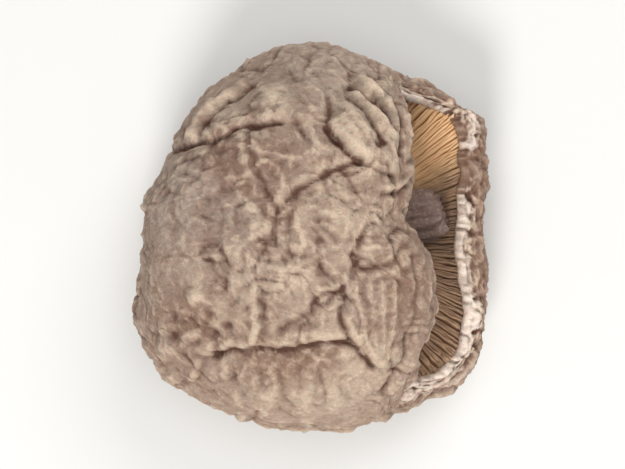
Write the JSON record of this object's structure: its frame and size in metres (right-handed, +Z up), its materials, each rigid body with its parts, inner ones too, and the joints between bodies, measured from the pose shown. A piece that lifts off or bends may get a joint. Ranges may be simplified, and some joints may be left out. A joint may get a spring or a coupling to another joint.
{
  "type": "dried shiitake mushroom",
  "caption": "Dried shiitake mushroom, its wrinkled brown cap folded over its own gills and stem stub, lying on its lower half",
  "frame": {"origin": "on the surface it lies on, under the middle of its bounding box", "axes": "+Z up, square to the folded cap's broad face; +X towards the mouth between the two halves of the cap; +Y along the fold, towards the bunched-up wad of skin"},
  "size_m": [0.0496, 0.0542, 0.0288],
  "materials": {
    "dried_skin": "matt, wrinkled, warm grey-brown skin with dark creases, cream margin and amber gills"
  },
  "bodies": {
    "root": {"mushroom": "dried_skin"}
  },
  "joints": []
}
